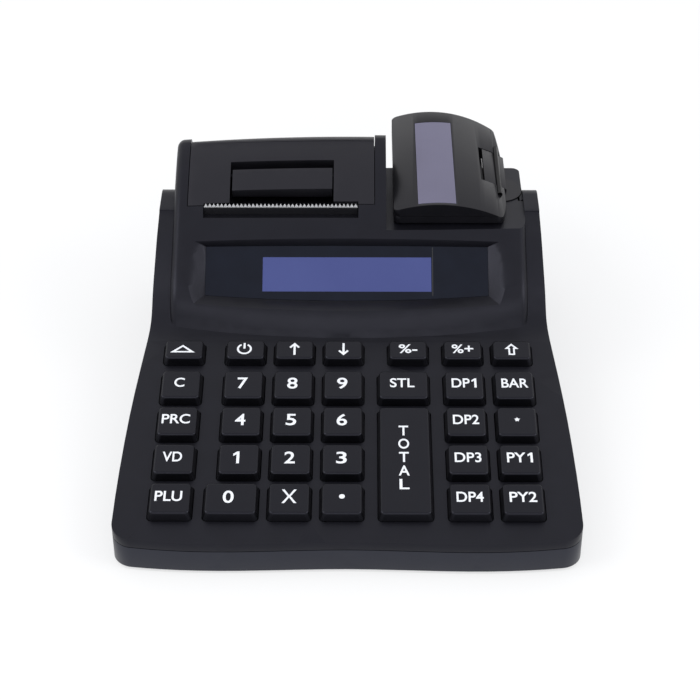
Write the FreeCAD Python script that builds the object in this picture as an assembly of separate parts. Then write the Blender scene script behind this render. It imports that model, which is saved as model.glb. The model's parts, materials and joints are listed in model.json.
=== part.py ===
import FreeCAD, Part
import math
import os

from FreeCAD import Placement, Rotation, Vector

os.makedirs("parts", exist_ok=True)

# Portable ticket register: keyboard deck, display block with a ticket printer, flip-up customer display.
# Millimetres and degrees. X is across, a depth d runs back from the front edge, Z is up from the table.
# On the sloping deck, s is measured up the slope from its front edge, and n square out of the deck.

# Case
BODY_WIDTH = 169.0
BODY_DEPTH = 186.4
DECK_FRONT_HEIGHT = 14.0
DECK_TILT = 8.0
WALL = 2.0
SEAM_DROP = 3.4
SEAM_GAP = 0.3
UNDERSIDE_HEIGHT = 1.2
CORNER_RADIUS = 8.0
CORNER_SETBACK = 3.0
FRONT_DIP = 1.1
FIN_START = 102.0
FIN_HEIGHT = 58.6
FIN_CREST = 162.0
FIN_NOSE_LENGTH = 9.5
FIN_NOSE_DROP = 6.2
OVERRUN = 20.0
FIT = 0.1
RUNNING = 0.05
PANEL_GAP = 0.3
ROOT_SHARE = 0.6
LOBE_SHARE = 0.546
SIDE_SHARES = ((0.0, 1.0), (0.11, 0.998), (0.22, 0.990), (0.33, 0.977), (0.44, 0.958),
               (0.55, 0.936), (0.66, 0.920), (0.8, 0.912), (1.0, 0.908))
FIN_SHARES = ((0.6035, 0.543), (0.6330, 0.6495), (0.6679, 0.7491), (0.7135, 0.8454),
              (0.7618, 0.921), (0.8101, 0.9742))

# Display block
BLOCK_WIDTH = 142.0
BLOCK_HEIGHT = 73.2
BLOCK_CROWN = 2.6
FACE_SWELL = 5.4
BLOCK_EDGE_RADIUS = 3.2
BLOCK_FOOT_HEIGHT = 10.0
PLATFORM_HEIGHT = 56.5
HUMP_RIGHT = 14.9
FACE_SHARES = ((0.5773, 0.3416, -1.0, 0.0), (0.5869, 0.4016, -1.0, 0.0), (0.6132, 0.5451, -0.72, -0.3),
               (0.6765, 0.6653, -0.3, 0.1), (0.7350, 0.7476, 0.0, 0.35), (0.8299, 0.8784, 0.0, 0.8),
               (0.8959, 0.9530, 0.0, 0.9), (0.9544, 1.0, 0.0, 1.0))
REAR_ROUND_SHARES = ((0.9871, 0.9695, 0.0, 1.0), (1.0, 0.8866, 0.0, 0.5))

# Operator display
FACE_TILT = 36.5
FACE_DEPTH = 113.0
FACE_HEIGHT = 39.0
POCKET_CENTRE = -0.9
POCKET_DEPTH = 3.2
POCKET_RIM = ((-60.35, -0.6), (-63.0, 26.8), (0.0, 27.7), (63.0, 26.8), (60.35, -0.6), (0.0, -2.2))
POCKET_FLOOR = ((-56.4, 4.0), (-56.4, 24.6), (0.0, 25.1), (56.4, 24.6), (56.4, 4.0), (0.0, 1.8))
LENS_THICKNESS = 1.5
LCD_LEFT = -36.2
LCD_RIGHT = 34.6
LCD_BOTTOM = 4.2
LCD_TOP = 21.6
LCD_THICKNESS = 3.6

# Keys
KEY_PITCH = 19.05
KEY_TOP = 14.2
KEY_TOP_DEPTH = 14.0
KEY_FLARE = 1.9
KEY_HEIGHT = 3.5
KEY_RADIUS = 1.6
KEY_EDGE_RADIUS = 0.9
KEY_WALL = 1.2
KEY_CLEARANCE = 0.25
FLANGE_WIDTH = 0.8
FLANGE_THICKNESS = 1.0
PLUNGER_RADIUS = 2.0
PLUNGER_TIP = 5.2
WIDE_KEY_TOP = 18.2
FUNCTION_KEY_DEPTH = 9.5
CODE_COLUMN = -63.95
DIGIT_COLUMN = -40.05
ZERO_COLUMN = -42.1
PERCENT_COLUMN = 23.15
TOTAL_COLUMN = 21.1
DEPARTMENT_COLUMN = 44.35
FIRST_ROW = 18.8
FUNCTION_ROW = 94.95

# Keyboard inside
MAT_TOP = 6.3
MAT_THICKNESS = 1.0
BOOT_HEIGHT = 2.8
BOOT_RADIUS = 4.2
BOOT_TOP_RADIUS = 3.0
BOOT_BORE = 2.3
BOARD_THICKNESS = 1.6
BOARD_HALF_WIDTH = 72.4
BOARD_FRONT = 8.0
BOARD_REAR = 103.6
PILLAR_RADIUS = 3.0
PILLAR_COLUMNS = (-30.0, 30.0)
PILLAR_ROWS = (32.0, 84.0)

# Screws and feet
POST_RADIUS = 2.6
POST_SPLIT = 7.0
SCREW_RADIUS = 1.1
SCREW_HEAD_RADIUS = 2.1
SCREW_HEAD_HEIGHT = 1.4
SCREW_TOP = 12.0
SCREW_PLACES = ((-76.8, 15.0), (76.8, 15.0), (-52.0, 47.0), (76.0, 66.0), (-66.0, 140.0), (66.0, 140.0))
FOOT_RADIUS = 5.0
FOOT_THICKNESS = 2.0
FOOT_PLACES = ((-66.0, 16.0), (66.0, 16.0), (-62.0, 174.0), (62.0, 174.0))

# Printer
HINGE_DEPTH = 177.6
HINGE_DROP = 4.0
HINGE_PIN_RADIUS = 1.25
HINGE_LUG_RADIUS = 3.0
HINGE_LUG_LENGTH = 3.4
COVER_REACH = 29.9
COVER_LEFT = -65.4
COVER_RIGHT = 10.4
LIP_THICKNESS = 1.5
LIP_OVERLAP = 10.0
LIP_TURN = 86.0
REAR_WALL_DROP = 6.2
SLOT_LEFT = -58.8
SLOT_RIGHT = 3.7
SHELF_FRONT = 143.0
SHELF_DROP = 14.9
SHELF_REAR = 147.3
SLOT_REAR = 149.4
TEAR_THICKNESS = 0.5
TEAR_RISE = 4.8
TEAR_ROOT = 2.1
TOOTH_PITCH = 1.55
TOOTH_HEIGHT = 1.5
PLATEN_DEPTH = 156.9
PLATEN_DROP = 19.7
PLATEN_RADIUS = 3.75
SHAFT_RADIUS = 1.5
PAPER_WIDTH = 57.0
PAPER_RADIUS = 13.0
PAPER_BORE = 6.0
PAPER_CENTRE = -27.0
PAPER_DEPTH = 168.5
PAPER_HEIGHT = 39.5
CHEEK_LEFT = -58.6
CHEEK_RIGHT = 4.6
CHEEK_THICKNESS = 1.6
CHEEK_FRONT = 148.5
CHEEK_COVER = 1.5
HEAD_SPACE = 5.8
BEARER_LENGTH = 2.0
MODULE = 0.55
PLATEN_TEETH = 12
DRIVE_TEETH = 16
GEAR_WIDTH = 3.2
GEAR_LEFT = 4.9
MESH_LEAN = 36.0
MOTOR_RADIUS = 6.6
MOTOR_LENGTH = 12.0
BRACKET_LEFT = 8.8

# Release bar
WELL_LEFT = -48.3
WELL_RIGHT = -6.3
WELL_FRONT = 150.1
WELL_REAR = 166.9
WELL_DROP = 14.3
WELL_WALL = 1.2
BAR_FRONT = 154.3
BAR_REAR = 163.2
BAR_THICKNESS = 3.4
BAR_SLOPE = 23.0
BAR_PIVOT_DEPTH = 165.0
BAR_PIVOT_DROP = 7.8
BAR_PIVOT_RADIUS = 1.7
BAR_PIN_RADIUS = 1.1

# Boards and battery
INNER_FLOOR = UNDERSIDE_HEIGHT + WALL
MAIN_LEFT = 14.0
MAIN_RIGHT = 62.0
MAIN_FRONT = 112.0
MAIN_REAR = 182.0
MAIN_HEIGHT = 6.2
JACK_X = 26.0
JACK_WIDTH = 9.0
JACK_HEIGHT = 11.0
JACK_BORE = 3.2
SOCKET_X = 48.0
SOCKET_WIDTH = 14.0
SOCKET_HEIGHT = 12.0
SOCKET_MOUTH = 10.0
PORT_DEPTH = 13.0
CELL_RADIUS = 9.2
CELL_LENGTH = 66.0
CELL_FRONT = 112.0
CELL_X = (-44.6, -25.0)

# Customer display
POD_UNDERSIDE = 57.3
POD_TOP = 65.9
POD_CROWN_RADIUS = 56.0
POD_CENTRE = 36.0
POD_FRONT = 142.6
POD_LEFT = 17.9
POD_RIGHT = 61.6
POD_REAR = 217.4
POD_CORNER_RADIUS = 2.4
POD_WALL = 1.6
POD_RIGHT_SHARES = ((1.0, 0.0), (1.0455, 0.16), (1.0520, 0.353), (1.0471, 0.600), (0.9984, 0.926))
POD_REAR_SHARES = ((0.7468, 0.972), (0.3484, 1.0))
PIVOT_X = 61.5
PIVOT_HEIGHT = 59.9
PIVOT_PIN_RADIUS = 1.0
NOTCH_LEFT = 54.0
NOTCH_FRONT = 167.0
NOTCH_REAR = 192.6
NECK_LEFT = 55.6
PIN_FRONT = 160.0
PIN_REAR = 197.0
POD_SPLIT = 60.4
LCD2_LEFT = 25.0
LCD2_RIGHT = 45.5
LCD2_FRONT = 145.6
LCD2_REAR = 208.0
LCD2_THICKNESS = 3.0
WINDOW_LEFT = 27.4
WINDOW_RIGHT = 43.1
WINDOW_FRONT = 144.0
WINDOW_REAR = 208.6
WINDOW_SEAT = 63.4
DISC_X = 62.3
DISC_DEPTH = 168.6
DISC_RADIUS = 8.7
DISC_TOP = 56.9
DISC_BOTTOM = 55.3
SPINDLE_RADIUS = 4.8
SPINDLE_LIP = 1.2
SPINDLE_BOSS_RADIUS = 11.0
SPINDLE_BOSS_BOTTOM = 52.5

# Derived
HALF_WIDTH = BODY_WIDTH / 2
HALF_BLOCK = BLOCK_WIDTH / 2
TAN_TILT = math.tan(math.radians(DECK_TILT))
DECK = Placement(Vector(0, 0, DECK_FRONT_HEIGHT), Rotation(Vector(1, 0, 0), DECK_TILT))
FACE = Placement(Vector(POCKET_CENTRE, FACE_DEPTH, FACE_HEIGHT), Rotation(Vector(1, 0, 0), FACE_TILT))
CENTRE_SHIFT = Vector(0, -POD_REAR / 2, 0)
HINGE_HEIGHT = BLOCK_HEIGHT - HINGE_DROP
REAR_WALL_TOP = BLOCK_HEIGHT - REAR_WALL_DROP
SHELF_HEIGHT = BLOCK_HEIGHT - SHELF_DROP
TEAR_TOP = SHELF_HEIGHT + TEAR_RISE
TEAR_BOTTOM = SHELF_HEIGHT - TEAR_ROOT
PLATEN_HEIGHT = BLOCK_HEIGHT - PLATEN_DROP
CHEEK_TOP = PLATEN_HEIGHT - HEAD_SPACE
CHEEK_REAR = PAPER_DEPTH + PAPER_RADIUS + CHEEK_COVER
WELL_FLOOR = BLOCK_HEIGHT - WELL_DROP
BAR_PIVOT_HEIGHT = BLOCK_HEIGHT - BAR_PIVOT_DROP
GEAR_CENTRES = MODULE * (PLATEN_TEETH + DRIVE_TEETH) / 2
DRIVE_DEPTH = PLATEN_DEPTH + GEAR_CENTRES * math.sin(math.radians(MESH_LEAN))
DRIVE_HEIGHT = PLATEN_HEIGHT - GEAR_CENTRES * math.cos(math.radians(MESH_LEAN))
SKY = BLOCK_HEIGHT + OVERRUN
BOARD_TOP = MAT_TOP + MAT_THICKNESS
BOARD_BOTTOM = BOARD_TOP + BOARD_THICKNESS


def place(shape, placement):
    moved = shape.copy()
    moved.Placement = placement.multiply(moved.Placement)
    return moved


def block(x0, x1, y0, y1, z0, z1):
    return Part.makeBox(x1 - x0, y1 - y0, z1 - z0, Vector(x0, y0, z0))


def rod(x0, x1, d, z, radius):
    return Part.makeCylinder(radius, x1 - x0, Vector(x0, d, z), Vector(1, 0, 0))


def lengthwise(x, d0, d1, z, radius):
    return Part.makeCylinder(radius, d1 - d0, Vector(x, d0, z), Vector(0, 1, 0))


def post(x, d, z0, z1, radius):
    return Part.makeCylinder(radius, z1 - z0, Vector(x, d, z0))


def across(points, x0, x1):
    corners = [Vector(x0, d, z) for d, z in points]
    face = Part.Face(Part.makePolygon(corners + corners[:1]))
    return face.extrude(Vector(x1 - x0, 0, 0))


def joined(shapes):
    return shapes[0].multiFuse(shapes[1:]) if len(shapes) > 1 else shapes[0]


def spline(points, first=None, last=None):
    curve = Part.BSplineCurve()
    if first is None:
        curve.interpolate(points)
    else:
        curve.interpolate(Points=points, InitialTangent=first, FinalTangent=last)
    return curve.toShape()


def rounded_wire(x0, x1, y0, y1, z, radius):
    centres = ((x1 - radius, y0 + radius, 270), (x1 - radius, y1 - radius, 0),
               (x0 + radius, y1 - radius, 90), (x0 + radius, y0 + radius, 180))
    arcs = [Part.makeCircle(radius, Vector(x, y, z), Vector(0, 0, 1), turn, turn + 90)
            for x, y, turn in centres]
    edges = []
    for arc, following in zip(arcs, arcs[1:] + arcs[:1]):
        start = arc.valueAt(arc.LastParameter)
        end = following.valueAt(following.FirstParameter)
        edges += [arc, Part.makeLine(start, end)]
    return Part.Wire(edges)


def rounded_block(x0, x1, y0, y1, z0, z1, radius):
    return Part.Face(rounded_wire(x0, x1, y0, y1, z0, radius)).extrude(Vector(0, 0, z1 - z0))


# The skin inside an open outline lies to its right by the wall
def inner_line(points, wall):
    moved = []
    last = len(points) - 1
    for i, (d, z) in enumerate(points):
        before = points[max(i - 1, 0)]
        after = points[min(i + 1, last)]
        run = after[0] - before[0]
        rise = after[1] - before[1]
        length = math.hypot(run, rise)
        moved.append((d + wall * rise / length, z - wall * run / length))
    return moved


def plan_prism(wall):
    right = []
    for depth_share, width_share in SIDE_SHARES:
        d = CORNER_SETBACK + (BODY_DEPTH - CORNER_SETBACK) * depth_share
        right.append(Vector(HALF_WIDTH * width_share - wall, d, 0))
    right[0].y += wall
    right[-1].y -= wall
    left = [Vector(-p.x, p.y, p.z) for p in right]
    lobe = HALF_WIDTH * LOBE_SHARE
    front = [left[0], Vector(-lobe, wall, 0), Vector(0, FRONT_DIP + wall, 0), Vector(lobe, wall, 0), right[0]]
    edges = [spline(front), spline(right), Part.makeLine(right[-1], left[-1]), spline(left[::-1])]
    prism = Part.Face(Part.Wire(edges)).extrude(Vector(0, 0, BLOCK_HEIGHT + OVERRUN))
    for is_front in (True, False):
        corners = []
        for edge in prism.Edges:
            box = edge.BoundBox
            upright = box.ZLength > BLOCK_HEIGHT
            if upright and (box.YMax < BODY_DEPTH / 4) == is_front and abs(box.XMin) > HALF_BLOCK:
                corners.append(edge)
        prism = prism.makeFillet(CORNER_RADIUS, corners)
    return prism


def deck_height(d):
    return DECK_FRONT_HEIGHT + d * TAN_TILT


def side_profile(wall):
    line = [(-OVERRUN, deck_height(-OVERRUN)), (FIN_START, deck_height(FIN_START))]
    line += [(BODY_DEPTH * a, FIN_HEIGHT * b) for a, b in FIN_SHARES]
    line += [(FIN_CREST, FIN_HEIGHT)]
    nose_end = (FIN_CREST + FIN_NOSE_LENGTH, FIN_HEIGHT - FIN_NOSE_DROP)
    nose_middle = (FIN_CREST + FIN_NOSE_DROP, FIN_HEIGHT - WALL * 0.8)
    tail = (BODY_DEPTH + FIN_NOSE_LENGTH, 0)
    if wall:
        line = inner_line(line, wall)
        drop = wall / math.cos(math.radians(DECK_TILT))
        line = [(d, deck_height(d) - drop) for d, z in line[:2]] + line[2:]
        line[-1] = (FIN_CREST, FIN_HEIGHT - wall)
        nose_middle, nose_end, tail = inner_line([nose_middle, nose_end, tail], wall)
    floor = UNDERSIDE_HEIGHT + wall
    x = -BODY_WIDTH
    p = [Vector(x, d, z) for d, z in line]
    pull = HALF_WIDTH / 8
    rise = spline(p[1:], Vector(0, 1, TAN_TILT) * pull, Vector(0, 1, TAN_TILT / 2) * pull)
    end = Vector(x, *nose_end)
    nose = Part.Arc(p[-1], Vector(x, *nose_middle), end).toShape()
    below = Vector(x, tail[0], floor)
    front = Vector(x, p[0].y, floor)
    lines = [Part.makeLine(a, b) for a, b in ((end, below), (below, front), (front, p[0]))]
    wire = Part.Wire([Part.makeLine(p[0], p[1]), rise, nose] + lines)
    return Part.Face(wire).extrude(Vector(2 * BODY_WIDTH, 0, 0))


def block_section(x, crown, swell, wall):
    top = [(BODY_DEPTH * a + swell * c, BLOCK_HEIGHT * b + crown * e) for a, b, c, e in FACE_SHARES]
    back = [(BODY_DEPTH * a + swell * c, BLOCK_HEIGHT * b + crown * e) for a, b, c, e in REAR_ROUND_SHARES]
    line = top + back
    if wall:
        line = inner_line(line, wall)
        line[-1] = (BODY_DEPTH - wall, line[-1][1])
    p = [Vector(x, d, z) for d, z in line]
    n = len(top)
    foot = BLOCK_FOOT_HEIGHT
    rear = Vector(x, p[-1].y, foot)
    front = Vector(x, p[0].y, foot)
    edges = [spline(p[:n]), Part.Arc(p[n - 1], p[n], p[n + 1]).toShape()]
    edges += [Part.makeLine(p[n + 1], rear), Part.makeLine(rear, front), Part.makeLine(front, p[0])]
    return Part.Wire(edges)


def display_block(wall):
    half = HALF_BLOCK - wall
    sections = [block_section(-half, 0, 0, wall), block_section(0, BLOCK_CROWN, FACE_SWELL, wall),
                block_section(half, 0, 0, wall)]
    solid = Part.makeLoft(sections, True, False)
    if wall:
        return solid
    edges = []
    for edge in solid.Edges:
        box = edge.BoundBox
        if box.XLength < FIT and box.ZMax > BLOCK_HEIGHT / 2:
            edges.append(edge)
    return solid.makeFillet(BLOCK_EDGE_RADIUS, edges)


def body_solid(wall):
    solid = plan_prism(wall).common(side_profile(wall)).fuse(display_block(wall))
    shelf = block(HUMP_RIGHT - wall, HALF_BLOCK - wall, FIN_START, BODY_DEPTH + OVERRUN,
                  PLATFORM_HEIGHT - wall, BLOCK_HEIGHT + OVERRUN)
    return solid.cut(shelf)


def above_seam(drop):
    space = block(-BODY_WIDTH, BODY_WIDTH, -OVERRUN, BODY_DEPTH * 2, -drop, BODY_DEPTH)
    return place(space, DECK)


def key_list():
    digits = [DIGIT_COLUMN + KEY_PITCH * i for i in range(3)]
    rows = [FIRST_ROW + KEY_PITCH * i for i in range(4)]
    departments = (DEPARTMENT_COLUMN, DEPARTMENT_COLUMN + KEY_PITCH)
    function_places = (CODE_COLUMN, *digits, PERCENT_COLUMN, *departments)
    keys = {}
    names = ("feed", "power", "up", "down", "percent_minus", "percent_plus", "shift")
    for name, x in zip(names, function_places):
        keys[name] = (x, FUNCTION_ROW, KEY_TOP, FUNCTION_KEY_DEPTH)
    for name, row in zip(("plu", "void", "price", "clear"), rows):
        keys[name] = (CODE_COLUMN, row, KEY_TOP, KEY_TOP_DEPTH)
    for number in range(9):
        keys[str(number + 1)] = (digits[number % 3], rows[number // 3 + 1], KEY_TOP, KEY_TOP_DEPTH)
    keys["0"] = (ZERO_COLUMN, rows[0], WIDE_KEY_TOP, KEY_TOP_DEPTH)
    keys["multiply"] = (digits[1], rows[0], KEY_TOP, KEY_TOP_DEPTH)
    keys["point"] = (digits[2], rows[0], KEY_TOP, KEY_TOP_DEPTH)
    keys["subtotal"] = (TOTAL_COLUMN, rows[3], WIDE_KEY_TOP, KEY_TOP_DEPTH)
    keys["total"] = (TOTAL_COLUMN, rows[1], WIDE_KEY_TOP, KEY_TOP_DEPTH + 2 * KEY_PITCH)
    for name, row in zip(("department_4", "department_3", "department_2", "department_1"), rows):
        keys[name] = (departments[0], row, KEY_TOP, KEY_TOP_DEPTH)
    for name, row in zip(("pay_2", "pay_1", "star", "barcode"), rows):
        keys[name] = (departments[1], row, KEY_TOP, KEY_TOP_DEPTH)
    return keys


KEYS = key_list()


def key_cap(width, depth):
    w = width / 2
    d = depth / 2
    f = KEY_FLARE / 2
    base = rounded_wire(-w - f, w + f, -d - f, d + f, 0, KEY_RADIUS)
    top = rounded_wire(-w, w, -d, d, KEY_HEIGHT, KEY_RADIUS)
    cap = Part.makeLoft([base, top], True, True)
    rim = [e for e in cap.Edges if e.BoundBox.ZMin > KEY_HEIGHT - FIT]
    cap = cap.makeFillet(KEY_EDGE_RADIUS, rim)
    drop = WALL + FIT
    skirt = rounded_block(-w - f, w + f, -d - f, d + f, -drop, 0, KEY_RADIUS)
    g = f + FLANGE_WIDTH
    flange = rounded_block(-w - g, w + g, -d - g, d + g, -drop - FLANGE_THICKNESS, -drop, KEY_RADIUS)
    ceiling = KEY_HEIGHT - KEY_WALL
    h = f - KEY_WALL
    hollow = block(-w - h, w + h, -d - h, d + h, -drop - FLANGE_THICKNESS - FIT, ceiling)
    plunger = post(0, 0, -PLUNGER_TIP, ceiling + KEY_WALL / 2, PLUNGER_RADIUS)
    return joined([cap, skirt, flange]).cut(hollow).fuse(plunger)


def key_parts():
    shapes = {}
    made = {}
    for name, (x, s, width, depth) in KEYS.items():
        if (width, depth) not in made:
            made[(width, depth)] = key_cap(width, depth)
        cap = place(made[(width, depth)], Placement(Vector(x, s, 0), Rotation()))
        shapes["key_" + name] = place(cap, DECK)
    return shapes


def key_windows():
    windows = []
    g = KEY_FLARE / 2 + KEY_CLEARANCE
    for x, s, width, depth in KEYS.values():
        w = width / 2 + g
        d = depth / 2 + g
        windows.append(rounded_block(x - w, x + w, s - d, s + d, -WALL * 2, WALL, KEY_RADIUS + KEY_CLEARANCE))
    return place(Part.makeCompound(windows), DECK)


def post_holes(extra):
    return [post(x, d, 0, BLOCK_HEIGHT, POST_RADIUS + extra) for x, d in SCREW_PLACES[:4]]


def keypad_mat():
    sheet = block(-BOARD_HALF_WIDTH, BOARD_HALF_WIDTH, BOARD_FRONT, BOARD_REAR, -BOARD_TOP, -MAT_TOP)
    places = [key[:2] for key in KEYS.values()]
    boots = [Part.makeCone(BOOT_RADIUS, BOOT_TOP_RADIUS, BOOT_HEIGHT, Vector(x, s, -MAT_TOP))
             for x, s in places]
    bores = [post(x, s, -BOARD_TOP - FIT, FIT, BOOT_BORE) for x, s in places]
    solid = place(joined([sheet] + boots).cut(bores), DECK)
    return solid.cut(post_holes(WALL / 2))


def key_board():
    sheet = block(-BOARD_HALF_WIDTH, BOARD_HALF_WIDTH, BOARD_FRONT, BOARD_REAR, -BOARD_BOTTOM, -BOARD_TOP)
    return place(sheet, DECK).cut(post_holes(WALL / 2))


def pocket_wire(share, n, inset):
    points = []
    for (x0, u0), (x1, u1) in zip(POCKET_FLOOR, POCKET_RIM):
        x = x0 + (x1 - x0) * share
        u = u0 + (u1 - u0) * share
        side = (x < 0) - (x > 0)
        level = 1 if u < LCD_TOP else -1
        points.append(Vector(x + side * inset, u + level * inset, n))
    a, b, c, d, e, f = points
    upper = Part.Arc(b, c, d).toShape()
    lower = Part.Arc(e, f, a).toShape()
    return Part.Wire([Part.makeLine(a, b), upper, Part.makeLine(d, e), lower])


def pocket_prism(share, n0, n1, inset):
    return place(Part.Face(pocket_wire(share, n0, inset)).extrude(Vector(0, 0, n1 - n0)), FACE)


def pocket_cut():
    funnel = Part.makeLoft([pocket_wire(0, -POCKET_DEPTH, 0), pocket_wire(2, POCKET_DEPTH, 0)], True, True)
    seat = pocket_prism(0, -POCKET_DEPTH - LENS_THICKNESS, -POCKET_DEPTH + FIT, 0)
    return place(funnel, FACE).fuse(seat)


def lcd_block(n0, n1, gap):
    shift = POCKET_CENTRE
    solid = block(LCD_LEFT - shift - gap, LCD_RIGHT - shift + gap, LCD_BOTTOM - gap, LCD_TOP + gap, n0, n1)
    return place(solid, FACE)


def display_lens():
    return pocket_prism(0, -POCKET_DEPTH - LENS_THICKNESS, -POCKET_DEPTH, FIT)


def operator_lcd():
    front = -POCKET_DEPTH - LENS_THICKNESS - FIT
    return lcd_block(front - LCD_THICKNESS, front, 0)


def swept_front(x0, x1, radius):
    disc = rod(x0, x1, HINGE_DEPTH, HINGE_HEIGHT, radius)
    roof = block(x0, x1, HINGE_DEPTH, BODY_DEPTH + OVERRUN, HINGE_HEIGHT - radius, BLOCK_HEIGHT + OVERRUN)
    return disc.fuse(roof)


def cover_opening():
    space = swept_front(COVER_LEFT, COVER_RIGHT, COVER_REACH + PANEL_GAP)
    rear = block(COVER_LEFT, COVER_RIGHT, BODY_DEPTH - WALL, BODY_DEPTH + OVERRUN * 2, 0, REAR_WALL_TOP)
    return space.cut(rear)


def hinge_lugs():
    left_wall = -HALF_BLOCK + WALL / 2
    left = rod(left_wall, COVER_LEFT, HINGE_DEPTH, HINGE_HEIGHT, HINGE_LUG_RADIUS)
    right = rod(COVER_RIGHT, HUMP_RIGHT - WALL / 2, HINGE_DEPTH, HINGE_HEIGHT, HINGE_LUG_RADIUS)
    return [left, right]


def cover_hinge_pin():
    return rod(-HALF_BLOCK + WALL, HUMP_RIGHT - WALL, HINGE_DEPTH, HINGE_HEIGHT, HINGE_PIN_RADIUS)


def exit_shelf(outer):
    solid = block(SLOT_LEFT - WALL, SLOT_RIGHT + WALL, SHELF_FRONT - WALL, SHELF_REAR + WALL * 2,
                  SHELF_HEIGHT - WALL, TEAR_TOP + WALL)
    return solid.common(outer)


def exit_recess():
    rise = WALL * 0.6
    points = [(SHELF_FRONT, SHELF_HEIGHT + rise), (SHELF_FRONT + rise, SHELF_HEIGHT),
              (SHELF_REAR, SHELF_HEIGHT), (SHELF_REAR, 0),
              (SHELF_REAR + OVERRUN / 4, 0), (SHELF_REAR + OVERRUN / 4, TEAR_TOP + OVERRUN),
              (SHELF_FRONT, TEAR_TOP + OVERRUN)]
    tall = across(points, SLOT_LEFT, SLOT_RIGHT)
    keep = block(SLOT_LEFT - OVERRUN, SLOT_RIGHT + OVERRUN, 0, BODY_DEPTH, 0, SHELF_HEIGHT - WALL * 2)
    return tall.cut(keep)


def tear_bar():
    x0 = SLOT_LEFT + PANEL_GAP
    x1 = SLOT_RIGHT - PANEL_GAP
    teeth = int((x1 - x0) / TOOTH_PITCH)
    pitch = (x1 - x0) / teeth
    y = SHELF_REAR + FIT
    points = [Vector(x0, y, TEAR_BOTTOM)]
    for i in range(teeth):
        points.append(Vector(x0 + pitch * i, y, TEAR_TOP - TOOTH_HEIGHT))
        points.append(Vector(x0 + pitch * (i + 0.5), y, TEAR_TOP))
    points += [Vector(x1, y, TEAR_TOP - TOOTH_HEIGHT), Vector(x1, y, TEAR_BOTTOM), points[0]]
    return Part.Face(Part.makePolygon(points)).extrude(Vector(0, TEAR_THICKNESS, 0))


def screw_posts(inner):
    posts = [post(x, d, POST_SPLIT + PANEL_GAP, BLOCK_HEIGHT, POST_RADIUS) for x, d in SCREW_PLACES]
    return [p.common(inner) for p in posts]


def neck_boss(inner):
    boss = post(DISC_X, DISC_DEPTH, SPINDLE_BOSS_BOTTOM, PLATFORM_HEIGHT, SPINDLE_BOSS_RADIUS)
    return boss.common(inner)


def neck_cuts():
    seat = post(DISC_X, DISC_DEPTH, DISC_BOTTOM - FIT, PLATFORM_HEIGHT + OVERRUN, DISC_RADIUS + FIT)
    bore = post(DISC_X, DISC_DEPTH, SPINDLE_BOSS_BOTTOM - OVERRUN / 2, DISC_TOP, SPINDLE_RADIUS + RUNNING)
    return [seat, bore]


def top_case(outer, inner):
    # each extra reaches a little into the skin, so that it joins it
    room = body_solid(WALL * ROOT_SHARE)
    skin = outer.cut(inner).common(above_seam(SEAM_DROP))
    tub = pocket_prism(1, -POCKET_DEPTH - LENS_THICKNESS - WALL, WALL, 0).common(outer)
    extras = [tub, exit_shelf(outer)] + screw_posts(room) + [neck_boss(room)]
    shell = joined([skin] + extras)
    shell = shell.cut(cover_opening())
    shell = joined([shell] + [lug.common(outer) for lug in hinge_lugs()])
    window = lcd_block(-WALL * 5, 0, FIT)
    screws = [post(x, d, 0, SCREW_TOP + FIT, SCREW_RADIUS + RUNNING) for x, d in SCREW_PLACES]
    pin_left = -HALF_BLOCK + WALL - FIT
    pin = rod(pin_left, HUMP_RIGHT - WALL + FIT, HINGE_DEPTH, HINGE_HEIGHT, HINGE_PIN_RADIUS + RUNNING)
    shell = shell.cut(key_windows())
    return shell.cut([pocket_cut(), window, exit_recess(), pin] + neck_cuts() + screws)


def port_windows():
    z = MAIN_HEIGHT + BOARD_THICKNESS
    rear = BODY_DEPTH + WALL
    front = BODY_DEPTH - WALL * 2
    gap = PANEL_GAP
    jack = block(JACK_X - JACK_WIDTH / 2 - gap, JACK_X + JACK_WIDTH / 2 + gap, front, rear,
                 z - gap, z + JACK_HEIGHT + gap)
    socket = block(SOCKET_X - SOCKET_WIDTH / 2 - gap, SOCKET_X + SOCKET_WIDTH / 2 + gap, front, rear,
                   z - gap, z + SOCKET_HEIGHT + gap)
    return [jack, socket]


def below_deck(drop):
    return place(block(-BODY_WIDTH, BODY_WIDTH, -OVERRUN, BODY_DEPTH * 2, -BODY_DEPTH, -drop), DECK)


def board_stands():
    under_board = below_deck(BOARD_BOTTOM + PANEL_GAP)
    pillars = [post(x, d, INNER_FLOOR - FIT, BLOCK_HEIGHT, PILLAR_RADIUS).common(under_board)
               for x in PILLAR_COLUMNS for d in PILLAR_ROWS]
    margin = PILLAR_RADIUS + WALL
    columns = (MAIN_LEFT + margin, MAIN_RIGHT - margin)
    rows = (MAIN_FRONT + margin, MAIN_REAR - margin)
    top = MAIN_HEIGHT - PANEL_GAP
    return pillars + [post(x, d, INNER_FLOOR - FIT, top, PILLAR_RADIUS) for x in columns for d in rows]


def bottom_case(outer, inner):
    tray = outer.cut(inner).common(below_deck(SEAM_DROP + SEAM_GAP))
    room = body_solid(WALL * ROOT_SHARE)
    tubes = [post(x, d, UNDERSIDE_HEIGHT, POST_SPLIT, POST_RADIUS).common(room) for x, d in SCREW_PLACES]
    shell = joined([tray] + tubes + board_stands())
    floor = UNDERSIDE_HEIGHT - OVERRUN
    head_top = UNDERSIDE_HEIGHT + SCREW_HEAD_HEIGHT + PANEL_GAP
    screws = [post(x, d, floor, POST_SPLIT + FIT, SCREW_RADIUS + RUNNING) for x, d in SCREW_PLACES]
    heads = [post(x, d, floor, head_top, SCREW_HEAD_RADIUS + PANEL_GAP) for x, d in SCREW_PLACES]
    seats = [post(x, d, floor, FOOT_THICKNESS, FOOT_RADIUS + FIT) for x, d in FOOT_PLACES]
    return shell.cut(screws + heads + seats + port_windows())


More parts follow.
